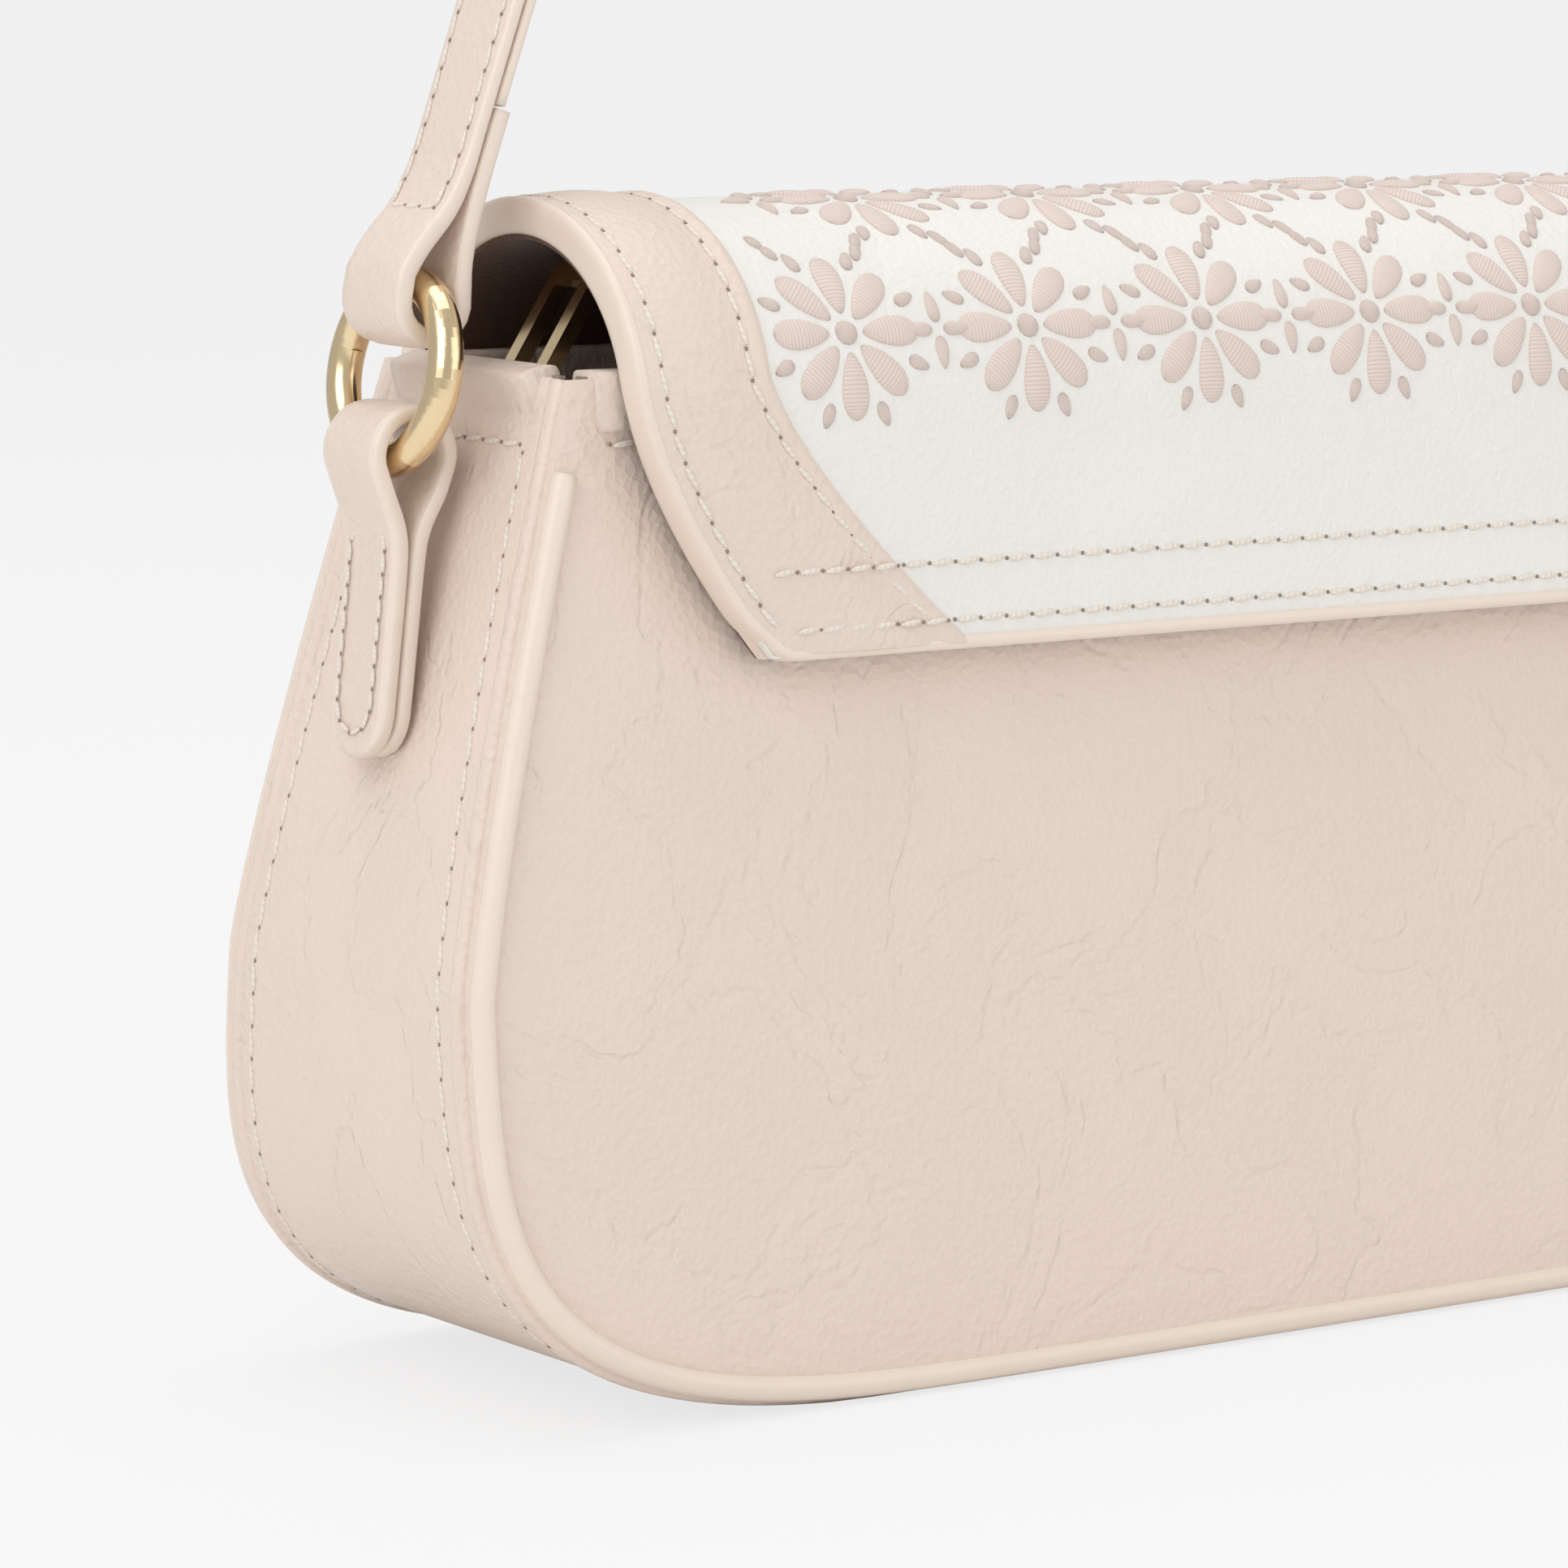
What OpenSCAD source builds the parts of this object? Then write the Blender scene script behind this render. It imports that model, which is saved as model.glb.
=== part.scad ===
// Baguette bag: a small structured shoulder bag with a domed flap, a side tab
// and spring-gate ring at each end, and one short shoulder strap.
// X runs along the bag, -Y is the front, Z is up, and the bag stands on Z = 0.

/* [Body] */
// Length of the mouth
mouth_w = 226; // [200:1:250]
// How far each side bellies out beyond the mouth
belly_out = 17; // [10:0.5:22]
// Height of the widest place
belly_z = 50; // [44:1:56]
// Height of the mouth
body_h = 118; // [112:1:124]
// Depth of the body at the floor
depth_base = 59; // [54:1:66]
// Depth of the body at the mouth
depth_mouth = 38; // [36:0.5:42]
// Bend of the side above its widest place
side_power = 1.19; // [1.1:0.01:1.5]
// Length of each lower corner along X
corner_w = 76; // [60:1:90]
// Squareness of the lower corners
corner_power = 3.4; // [2.4:0.1:4]

/* [Leathers] */
// Thickness of the body leather
skin_t = 1.4; // [1:0.1:1.8]
// Thickness of the board behind the front and back panels
board_t = 1.6; // [1.2:0.1:2]
// Thickness of the board inside the gusset
gusset_board_t = 0.8; // [0.5:0.1:1.2]
// Thickness of the suede lining
lining_t = 0.8; // [0.6:0.1:1.2]
// Radial depth of the turned seam ridge
ridge_d = 3.0; // [2.6:0.1:4]
// Width of the piping
piping_w = 3.0; // [2:0.1:4]
// How far the piping stands out of its panel
piping_h = 1.5; // [1:0.1:2]
// How far the piping and panels lie inside the outline
groove = 0.4; // [0.2:0.1:0.8]
// Distance from the mouth to the cut end of the piping
piping_drop = 10.5; // [8:0.5:16]
// Thickness of the binding round the mouth
binding_t = 0.9; // [0.6:0.1:1.2]
// Height of the binding round the mouth
binding_h = 6; // [4:0.5:9]
// Length of the board on the floor of the bag
base_board_w = 100; // [80:1:104]
// Thickness of the board on the floor of the bag
base_board_t = 1.6; // [1:0.1:3]

/* [Pocket] */
// Width of the slip pocket
pocket_w = 120; // [80:1:140]
// Height of the slip pocket
pocket_h = 55; // [40:1:60]
// Height of the slip pocket's foot above the floor
pocket_z = 40; // [30:1:44]
// Room inside the slip pocket
pocket_gap = 1; // [0.6:0.1:2]
// Width of the sewn border of the slip pocket
pocket_seam = 3; // [2:0.5:5]

/* [Flap] */
// Inner radius of the dome over the mouth
dome_r = 20.4; // [20:0.1:21]
// Distance of the dome's centre below the mouth
dome_drop = 6; // [4:0.5:7]
// Thickness of the flap's outer panel
flap_skin_t = 1.4; // [1:0.1:1.8]
// Thickness of the flap's stiffener
flap_core_t = 1.4; // [1.2:0.1:2]
// Thickness of the flap's lining
flap_lining_t = 1.2; // [0.8:0.1:1.4]
// Thickness of the side bands that lie over the panel
band_t = 1.2; // [0.8:0.1:1.6]
// Distance from the mouth's ends to the flap's ends
flap_inset = 5.5; // [5:0.5:9]
// Distance of the flap's lower edge below the mouth
flap_drop = 32; // [26:1:38]
// How far the flap's front corners lie inside its ends
flap_taper = 16.5; // [10:0.5:22]
// Width of the side band over the dome
band_w = 18; // [12:0.5:24]
// Width that the side band gains towards the front corner
band_gain = 10.5; // [4:0.5:14]
// Length of the flap's root that is sewn to the back panel
yoke_h = 16; // [10:1:22]
// Slit between the flap and its root
yoke_slit = 0.4; // [0.3:0.1:0.8]
// Distance below the mouth where the flap's side edge starts to draw in
taper_drop = 0; // [-2:1:4]

/* [Closure] */
// Radius of the magnets
magnet_r = 7; // [5:0.5:9]
// Distance of the magnets below the mouth
magnet_drop = 24; // [21:0.5:25]

/* [End rings] */
// Radius of the ring's centre line
ring_r = 10.2; // [9.8:0.1:10.8]
// Radius of the ring's wire
wire_r = 2.0; // [1.8:0.05:2.1]
// Distance of the ring's centre outside the end of the mouth
ring_out = 10.5; // [10:0.25:12]
// Height of the ring's centre above the mouth
ring_rise = 0; // [-1:0.5:1]
// Lean of the ring's top towards the bag
ring_lean = 10; // [4:1:11]
// Arc of the spring gate
gate_arc = 50; // [44:1:54]
// Slant of the gate's free end
gate_bevel = 40; // [38:1:46]
// Radius of the gate's pin
pin_r = 0.6; // [0.4:0.05:0.8]
// Running clearance round the gate's pin
pin_clear = 0.05; // [0.02:0.01:0.1]
// Width of the gate's tongue
tongue_w = 1.4; // [1:0.1:1.8]
// Clearance round the gate
gate_clear = 0.12; // [0.08:0.01:0.2]

/* [Side tabs] */
// Width of the side tab
tab_w = 11; // [9:0.5:11.5]
// Thickness of each ply of the side tab
tab_t = 2.2; // [1.6:0.1:2.4]
// Inner radius of the tab's loop
tab_loop_r = 3.6; // [3.5:0.1:4]
// Distance of the centre of the tab's loop below the mouth
tab_loop_drop = 9.1; // [8.8:0.1:9.6]
// Distance of the loop's centre outside the end of the mouth
tab_loop_out = 11.05; // [10.8:0.05:11.4]
// Distance below the mouth where the two plies meet
tab_join_drop = 19; // [17:0.5:22]
// Distance of the tab's foot below the mouth
tab_drop = 43.5; // [38:0.5:48]
// Lean of the sewn part of the tab
tab_lean = 6; // [4:0.5:7]

/* [Strap] */
// Width of the strap
strap_w = 12; // [10:0.5:12.2]
// Thickness of the strap's outer leather
strap_t = 1.8; // [1.4:0.1:2.2]
// Thickness of the strap's inner leather
strap_lining_t = 1.5; // [1:0.1:2]
// Lean of the strap's legs
strap_lean = 19.3; // [16:0.1:22]
// Inner radius of the strap's end loops
strap_loop_r = 2.6; // [2.55:0.05:2.8]
// Thickness of the leather round the end loops
strap_loop_t = 2.7; // [2.2:0.1:2.8]
// Height of the centre of the end loops above the mouth
strap_loop_rise = 7.9; // [7.7:0.1:8.0]
// Distance of the end loops' centre outside the end of the mouth
strap_loop_out = 8.9; // [8.7:0.05:9.1]
// Height above the mouth where the strap's outer face leaves the loop's taper
strap_join_rise = 21; // [19:0.5:24]
// Height above the mouth where the folded end stops
fold_end_rise = 29; // [26:0.5:34]
// Distance of the strap's outer face outside the mouth's end at the fold
strap_face_out = 3.0; // [2:0.1:5]
// Extra thickness at the fold's end
fold_step = 1.0; // [0.6:0.1:1.4]
// Outer radius of the strap's top bend
strap_top_r = 85; // [70:1:100]

/* [Inner rings] */
// Outer width of the inner ring
inner_ring_w = 8.4; // [8:0.1:11]
// Length of the inner ring from its hinge to its far bar
inner_ring_l = 16.5; // [14:0.5:17]
// Section of the inner ring's bars
inner_bar = 1.9; // [1.5:0.1:2]
// Lean of the inner ring at rest
inner_ring_lean = 33; // [25:1:40]
// Distance of the inner ring's hinge inside the end of the mouth
inner_ring_in = 5.4; // [5.2:0.1:6]
// Distance of the inner ring's hinge below the mouth
inner_ring_drop = 4; // [3.5:0.1:4.5]
// Width of the inner tab
inner_tab_w = 4.0; // [3:0.1:4.1]

/* [Hidden] */

$fn = 64;
beige = [0.90, 0.83, 0.77];
edge_beige = [0.93, 0.87, 0.80];
white = [0.95, 0.94, 0.91];
suede = [0.42, 0.32, 0.26];
board_grey = [0.62, 0.58, 0.52];
gold = [0.85, 0.72, 0.45];
steel = [0.6, 0.6, 0.62];

half_mouth = mouth_w / 2;
dome_z = body_h - dome_drop;
flap_edge_z = body_h - flap_drop;
taper_start_z = body_h - taper_drop;
magnet_z = body_h - magnet_drop;
ring_z = body_h + ring_rise;
tab_loop_z = body_h - tab_loop_drop;
tab_join_z = body_h - tab_join_drop;
tab_foot_z = body_h - tab_drop;
strap_loop_z = body_h + strap_loop_rise;
strap_join_z = body_h + strap_join_rise;
fold_end_z = body_h + fold_end_rise;
inner_ring_z = body_h - inner_ring_drop;
half_belly = half_mouth + belly_out;
panel_lean = atan((depth_base - depth_mouth) / 2 / body_h);
ridge_w = board_t + lining_t;
wall_t = skin_t + ridge_w;
gusset_t = skin_t + gusset_board_t + lining_t;
side_steps = 9;
corner_steps = 14;
far = 400;

dome_skin_r = dome_r + flap_lining_t + flap_core_t + flap_skin_t;
dome_band_r = dome_skin_r + band_t;
dome_y = depth_base / 2 - dome_z * tan(panel_lean) - dome_r / cos(panel_lean);
leg_l = (dome_z - flap_edge_z) / cos(panel_lean) + dome_r * tan(panel_lean);
half_flap = half_mouth - flap_inset;
root_rise = dome_r * sin(panel_lean);

ring_x = half_mouth + ring_out;
hinge_angle = 90 - gate_arc;
ring_start_angle = 80;
cheek_r = wire_r - 0.1;

// Right half of the body's outline, from above the mouth down to the flat floor
function side_x(z) =
  half_mouth + belly_out * (1 - pow((z - belly_z) / (body_h - belly_z), side_power));
function side_points() = [for (i = [0:side_steps])
  let (z = body_h - (body_h - belly_z) * i / side_steps) [side_x(z), z]];
function corner_points() = [for (i = [1:corner_steps])
  let (a = 90 * i / corner_steps)
  [half_belly - corner_w + corner_w * pow(max(cos(a), 0), 2 / corner_power),
   belly_z - belly_z * pow(sin(a), 2 / corner_power)]];
mouth_slope = side_x(body_h - 1) - side_x(body_h);
half_outline = concat([[half_mouth - 8 * mouth_slope, body_h + 8]], side_points(), corner_points());

// Unit normal that points into the body at point i of the half outline
function inward(i) =
  let (a = half_outline[max(i - 1, 0)])
  let (b = half_outline[min(i + 1, len(half_outline) - 1)])
  let (d = (b - a) / norm(b - a))
  i == len(half_outline) - 1 ? [0, 1] : [d[1], -d[0]];
function inset_half(d) = [for (i = [0:len(half_outline) - 1]) half_outline[i] + d * inward(i)];
function mirrored(points) = [for (i = [len(points) - 1:-1:0]) [-points[i][0], points[i][1]]];
function outline(d) = concat(inset_half(d), mirrored(inset_half(d)));

// Block along Y whose outline is the body's, drawn in by d
module body_block(d) {
  rotate([90, 0, 0]) linear_extrude(height = 2 * depth_base, center = true) polygon(outline(d));
}

// Hoop between two insets of the body's outline
module hoop(outer, inner) {
  difference() {
    body_block(outer);
    body_block(inner);
  }
}

// Layer that lies between the depths q0 and q1 behind the front panel's face
module front_layer(q0, q1, z0 = -5, z1 = body_h) {
  intersection() {
    translate([0, -depth_base / 2, 0]) rotate([-panel_lean, 0, 0])
      translate([-far, q0, -far]) cube([2 * far, q1 - q0, 2 * far]);
    translate([-far, -far, z0]) cube([2 * far, 2 * far, z1 - z0]);
  }
}

// Space between the front and back layers that start at depth q
module between_walls(q, z0, z1) {
  intersection() {
    front_layer(q, q + far, z0, z1);
    mirror([0, 1, 0]) front_layer(q, q + far, z0, z1);
  }
}

module wall_layer(q0, q1, inset, top = body_h) {
  intersection() {
    body_block(inset);
    front_layer(q0, q1, -5, top);
  }
}

// Places its children upright on the front face at height z, with Z pointing into the bag
module on_front_face(z) {
  translate([0, -depth_base / 2 + z * tan(panel_lean), z]) rotate([-90 - panel_lean, 0, 0]) children();
}

module board(magnet) {
  difference() {
    wall_layer(skin_t, skin_t + board_t, ridge_d);
    if (magnet) on_front_face(magnet_z) cylinder(h = 4 * wall_t, r = magnet_r, center = true);
  }
}

module seam_ridge() {
  intersection() {
    hoop(0, ridge_d);
    front_layer(skin_t, wall_t);
  }
}

module piping() {
  intersection() {
    hoop(groove, groove + piping_w);
    front_layer(-piping_h, 0, -5, body_h - piping_drop);
  }
}

// Binding over the top edge of a wall, from the depth q to its inner face
module wall_binding(q) {
  intersection() {
    body_block(ridge_d + groove);
    difference() {
      front_layer(q, wall_t + binding_t, body_h - binding_h, body_h + binding_t);
      front_layer(max(q, 0), wall_t, -5, body_h);
    }
  }
}

module gusset_binding() {
  intersection() {
    difference() {
      hoop(-binding_t, gusset_t + binding_t);
      intersection() {
        hoop(0, gusset_t);
        translate([-far, -far, body_h - far]) cube([2 * far, 2 * far, far]);
      }
    }
    between_walls(wall_t + binding_t + groove, body_h - binding_h, body_h + binding_t);
    translate([0, -far, 0]) cube(2 * far);
  }
}

module gusset_layer(outer, inner) {
  intersection() {
    hoop(outer, inner);
    between_walls(wall_t, -5, body_h);
  }
}

module front_panel() {
  color(beige) wall_layer(0, skin_t, groove);
}

module front_board() {
  color(board_grey) board(true);
}

module front_lining() {
  color(suede) wall_layer(skin_t + board_t, wall_t, ridge_d);
}

module front_magnet() {
  color(steel) on_front_face(magnet_z) translate([0, 0, skin_t]) cylinder(h = board_t, r = magnet_r);
}

// The back leather ends under the flap's root
module back_panel() {
  color(beige) mirror([0, 1, 0]) wall_layer(0, skin_t, groove, dome_z + root_rise);
}

module back_board() {
  color(board_grey) mirror([0, 1, 0]) board(false);
}

module back_lining() {
  color(suede) mirror([0, 1, 0]) wall_layer(skin_t + board_t, wall_t, ridge_d);
}

module gusset() {
  color(beige) gusset_layer(0, skin_t);
}

module gusset_board() {
  color(board_grey) gusset_layer(skin_t, skin_t + gusset_board_t);
}

module gusset_lining() {
  color(suede) gusset_layer(skin_t + gusset_board_t, gusset_t);
}

module base_board() {
  half_depth = depth_base / 2 - (wall_t + 0.6) / cos(panel_lean) - (gusset_t + base_board_t) * tan(panel_lean);
  color(board_grey) translate([-base_board_w / 2, -half_depth, gusset_t])
    cube([base_board_w, 2 * half_depth, base_board_t]);
}

module pocket_block(side, gap0, gap1, z0, z1) {
  intersection() {
    mirror([0, 1, 0]) front_layer(wall_t + gap0, wall_t + gap1, z0, z1);
    translate([-side, -far, 0]) cube([2 * side, 2 * far, far]);
  }
}

module slip_pocket() {
  color(suede) difference() {
    pocket_block(pocket_w / 2, 0, pocket_gap + lining_t, pocket_z, pocket_z + pocket_h);
    pocket_block(pocket_w / 2 - pocket_seam, -1, pocket_gap, pocket_z + pocket_seam, body_h);
  }
}

// Arch between two radii that spans all directions from the angle a to 180 - a
module arch(r0, r1, a) {
  intersection() {
    difference() {
      circle(r = r1);
      circle(r = r0);
    }
    polygon([[0, 0], [far * cos(a), far * sin(a)], [far * cos(a), 2 * far],
      [-far * cos(a), 2 * far], [-far * cos(a), far * sin(a)]]);
  }
}

// Side view of a flap layer between the radii r0 and r1, in Y and Z about the dome's centre
module flap_side_view(r0, r1) {
  difference() {
    arch(r0, r1, panel_lean);
    rotate(panel_lean) translate([0, -yoke_slit]) square([far, 2 * yoke_slit]);
  }
  rotate(-panel_lean) translate([-r1, -leg_l]) square([r1 - r0, leg_l + 0.01]);
}

// Front view of the flap, or of its middle between the bands
function flap_curve(top, taper, power) = [for (i = [0:10])
  let (s = i / 10)
  [top - taper * pow(s, power), taper_start_z - (taper_start_z - flap_edge_z) * s]];
flap_half = concat([[half_flap, body_h * 2]], flap_curve(half_flap, flap_taper, 1.6));
middle_half = concat([[half_flap - band_w, body_h * 2]],
  flap_curve(half_flap - band_w, flap_taper + band_gain, 1.35));

module front_view_block(points) {
  rotate([90, 0, 0]) linear_extrude(height = 2 * far, center = true)
    polygon(concat(points, mirrored(points)));
}

module flap_layer(r0, r1) {
  intersection() {
    translate([0, dome_y, dome_z]) rotate([90, 0, 90])
      linear_extrude(height = 2 * half_mouth, center = true) flap_side_view(r0, r1);
    front_view_block(flap_half);
  }
}

// Places its children on the flap's front leg, with Z pointing into the bag from the dome's axis
module on_flap_leg(z) {
  translate([0, dome_y, dome_z]) rotate([-panel_lean, 0, 0])
    translate([0, 0, (z - dome_z) / cos(panel_lean) - dome_r * sin(panel_lean)]) rotate([90, 0, 0]) children();
}

module flap_yoke() {
  color(beige) intersection() {
    mirror([0, 1, 0]) front_layer(dome_r - dome_skin_r, 0, dome_z - yoke_h, far);
    front_view_block([[half_flap, body_h * 2], [half_flap, 0]]);
    translate([0, dome_y, dome_z]) rotate([panel_lean, 0, 0])
      translate([-far, 0, -far]) cube([2 * far, far, far]);
  }
}

module flap_panel() {
  color(white) flap_layer(dome_skin_r - flap_skin_t, dome_skin_r);
}

module flap_core() {
  color(board_grey) difference() {
    flap_layer(dome_r + flap_lining_t, dome_r + flap_lining_t + flap_core_t);
    on_flap_leg(magnet_z) cylinder(h = 2 * far, r = magnet_r);
  }
}

module flap_lining() {
  color(suede) flap_layer(dome_r, dome_r + flap_lining_t);
}

module flap_magnet() {
  color(steel) on_flap_leg(magnet_z) translate([0, 0, dome_r + flap_lining_t])
    cylinder(h = flap_core_t, r = magnet_r);
}

module flap_band() {
  color(beige) intersection() {
    difference() {
      flap_layer(dome_skin_r, dome_band_r);
      front_view_block(middle_half);
    }
    translate([0, -far, 0]) cube(2 * far);
  }
}

// Side tab on the +X end: two plies that part round the ring
module tab() {
  outer_r = tab_loop_r + tab_t;
  loop_x = half_mouth + tab_loop_out;
  join_x = loop_x + outer_r - 3.1;
  color(beige) intersection() {
    rotate([90, 0, 0]) linear_extrude(height = tab_w, center = true) difference() {
      union() {
        translate([loop_x, tab_loop_z]) circle(r = outer_r);
        polygon([[loop_x + outer_r, tab_loop_z], [loop_x - outer_r, tab_loop_z],
          [join_x - 2 * tab_t, tab_join_z], [join_x, tab_join_z]]);
        translate([join_x, tab_join_z]) rotate(tab_lean) translate([-2 * tab_t, -far])
          square([2 * tab_t, far + tab_t / 2]);
      }
      translate([loop_x, tab_loop_z]) circle(r = tab_loop_r);
      polygon([[loop_x + tab_loop_r, tab_loop_z], [loop_x - tab_loop_r, tab_loop_z],
        [join_x - tab_t, tab_join_z + 0.6]]);
    }
    union() {
      translate([0, -tab_w, tab_foot_z + tab_w / 2]) cube([far, 2 * tab_w, far]);
      translate([0, 0, tab_foot_z + tab_w / 2]) rotate([0, 90, 0]) cylinder(h = far, d = tab_w);
    }
  }
}

// Stands its children in the ring's plane on the +X end: local X points down, local Y to the back
module in_ring_plane() {
  translate([ring_x, 0, ring_z]) mirror([1, 0, 0]) rotate([0, 90 + ring_lean, 0]) children();
}

module wire_arc(from, sweep) {
  rotate([0, 0, from]) rotate_extrude(angle = sweep) translate([ring_r, 0]) circle(r = wire_r);
}

module at_gate_pin() {
  translate([ring_r * cos(hinge_angle), ring_r * sin(hinge_angle), 0]) children();
}

// Half space on the ring's side of the slanted cut at the gate's free end
module beyond_bevel(gap) {
  translate([0, ring_r, 0]) rotate([0, 0, -gate_bevel]) translate([-far - gap, -far / 2, -far / 2])
    cube(far);
}

module o_ring() {
  color(gold) in_ring_plane() difference() {
    union() {
      difference() {
        wire_arc(ring_start_angle, 360 - ring_start_angle + hinge_angle);
        translate([0, ring_r, 0]) rotate([0, 0, -gate_bevel])
          translate([-gate_clear / 2, -wire_r * 2, -wire_r * 2]) cube(wire_r * 4);
      }
      at_gate_pin() sphere(r = cheek_r);
    }
    at_gate_pin() cylinder(h = tongue_w + 2 * gate_clear, r = cheek_r + gate_clear, center = true);
    at_gate_pin() cylinder(h = 4 * wire_r, r = pin_r, center = true);
  }
}

module gate() {
  color(gold) in_ring_plane() difference() {
    union() {
      difference() {
        wire_arc(hinge_angle, gate_arc + 12);
        beyond_bevel(gate_clear / 2);
        at_gate_pin() cylinder(h = 4 * wire_r, r = cheek_r + gate_clear, center = true);
      }
      intersection() {
        wire_arc(hinge_angle - 12, gate_arc / 2 + 12);
        at_gate_pin() cylinder(h = tongue_w, r = cheek_r + 2 * gate_clear, center = true);
        at_gate_pin() union() {
          cylinder(h = tongue_w, r = cheek_r - gate_clear, center = true);
          rotate([0, 0, hinge_angle + 90 + gate_arc / 4]) translate([0, -wire_r / 2, -tongue_w / 2])
            cube([2 * wire_r, wire_r, tongue_w]);
        }
      }
    }
    at_gate_pin() cylinder(h = 4 * wire_r, r = pin_r + pin_clear, center = true);
  }
}

module gate_pin() {
  color(gold) in_ring_plane() at_gate_pin() cylinder(h = 2 * cheek_r, r = pin_r, center = true);
}

// X of the strap's outer face on the +X side at height z
function strap_face_x(z) = half_mouth + strap_face_out - (z - fold_end_z) * tan(strap_lean);
strap_top_z = fold_end_z + (strap_face_x(fold_end_z) - strap_top_r * cos(strap_lean)) / tan(strap_lean);
strap_bend_z = strap_top_z - strap_top_r * sin(strap_lean);

// Front view of the strap between the depths d0 and d1 below its outer face, above height z
module strap_front_view(d0, d1, z) {
  translate([0, strap_bend_z]) arch(strap_top_r - d1, strap_top_r - d0, strap_lean);
  for (side = [0, 1]) mirror([side, 0]) intersection() {
    translate([strap_face_x(strap_top_z), strap_top_z]) rotate(strap_lean)
      translate([-d1, -far]) square([d1 - d0, far + 0.01]);
    translate([0, z]) square([far, far]);
  }
}

// Front view of the looped and folded end on the +X side
module strap_end_view() {
  loop_x = half_mouth + strap_loop_out;
  outer_r = strap_loop_r + strap_loop_t;
  fold_x = strap_face_x(fold_end_z);
  join_x = strap_face_x(strap_join_z);
  total = (strap_t + strap_lining_t + fold_step) / cos(strap_lean);
  difference() {
    union() {
      translate([loop_x, strap_loop_z]) circle(r = outer_r);
      polygon([[loop_x + outer_r, strap_loop_z], [loop_x + outer_r - 0.6, strap_loop_z + 3.5],
        [join_x + 0.9, strap_join_z - 2], [join_x, strap_join_z], [fold_x, fold_end_z],
        [fold_x - total, fold_end_z], [loop_x - outer_r, strap_loop_z]]);
    }
    translate([loop_x, strap_loop_z]) circle(r = strap_loop_r);
    polygon([[loop_x + strap_loop_r, strap_loop_z], [loop_x + strap_loop_r - 0.2, strap_loop_z + 3.5],
      [join_x - strap_t, strap_join_z - 2], [loop_x - strap_loop_r - 0.4, strap_loop_z + 3.5],
      [loop_x - strap_loop_r, strap_loop_z]]);
  }
}

module strap_face() {
  color(beige) rotate([90, 0, 0]) linear_extrude(height = strap_w, center = true) {
    strap_front_view(0, strap_t, fold_end_z);
    for (side = [0, 1]) mirror([side, 0]) strap_end_view();
  }
}

module strap_lining() {
  color(edge_beige) rotate([90, 0, 0]) linear_extrude(height = strap_w, center = true)
    strap_front_view(strap_t, strap_t + strap_lining_t, fold_end_z);
}

// Stands its children at the inner ring's hinge on the +X end
module at_inner_hinge() {
  translate([half_mouth - inner_ring_in, 0, inner_ring_z]) children();
}

module inner_tab() {
  sleeve_hole_r = inner_bar * 0.75 + 0.15;
  sleeve_r = sleeve_hole_r + 0.7;
  foot_x = side_x(body_h - binding_h) - gusset_t;
  color(suede) difference() {
    union() {
      intersection() {
        hoop(gusset_t, gusset_t + binding_t);
        translate([0, -inner_tab_w / 2, body_h - binding_h - 13.5]) cube([far, inner_tab_w, 13.2]);
      }
      at_inner_hinge() rotate([90, 0, 0]) cylinder(h = inner_tab_w, r = sleeve_r, center = true);
      rotate([90, 0, 0]) linear_extrude(height = inner_tab_w, center = true)
        polygon([[foot_x - 0.2, body_h - binding_h - 1.4], [foot_x - binding_t - 0.6, body_h - binding_h - 0.3],
          [half_mouth - inner_ring_in + sleeve_hole_r, inner_ring_z - 1],
          [half_mouth - inner_ring_in - 0.5, inner_ring_z - sleeve_r + 0.4]]);
    }
    at_inner_hinge() rotate([90, 0, 0]) cylinder(h = 2 * inner_tab_w, r = sleeve_hole_r, center = true);
  }
}

module inner_ring() {
  color(gold) at_inner_hinge() rotate([0, -inner_ring_lean, 0]) difference() {
    translate([-inner_bar / 2, -inner_ring_w / 2, -inner_bar / 2])
      cube([inner_bar, inner_ring_w, inner_ring_l + inner_bar]);
    translate([-inner_bar, -inner_ring_w / 2 + inner_bar, inner_bar / 2])
      cube([2 * inner_bar, inner_ring_w - 2 * inner_bar, inner_ring_l - inner_bar]);
  }
}

module left() {
  mirror([1, 0, 0]) children();
}

module back() {
  mirror([0, 1, 0]) children();
}

front_panel();
front_board();
front_lining();
front_magnet();
back_panel();
back_board();
back_lining();
gusset();
gusset_board();
gusset_lining();
color(beige) seam_ridge();  // front_seam_ridge
back() color(beige) seam_ridge();  // back_seam_ridge
color(edge_beige) piping();  // front_piping
back() color(edge_beige) piping();  // back_piping
color(beige) wall_binding(-binding_t);  // front_mouth_binding
back() color(beige) wall_binding(skin_t);  // back_mouth_binding
left() color(beige) gusset_binding();  // gusset_binding_left
color(beige) gusset_binding();  // gusset_binding_right
base_board();
slip_pocket();
flap_yoke();
flap_panel();
left() flap_band();  // flap_band_left
flap_band();  // flap_band_right
flap_core();
flap_lining();
flap_magnet();
left() tab();  // tab_left
tab();  // tab_right
left() o_ring();  // o_ring_left
o_ring();  // o_ring_right
left() gate();  // gate_left
gate();  // gate_right
left() gate_pin();  // gate_pin_left
gate_pin();  // gate_pin_right
strap_face();
strap_lining();
left() inner_tab();  // inner_tab_left
inner_tab();  // inner_tab_right
left() inner_ring();  // inner_ring_left
inner_ring();  // inner_ring_right
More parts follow.
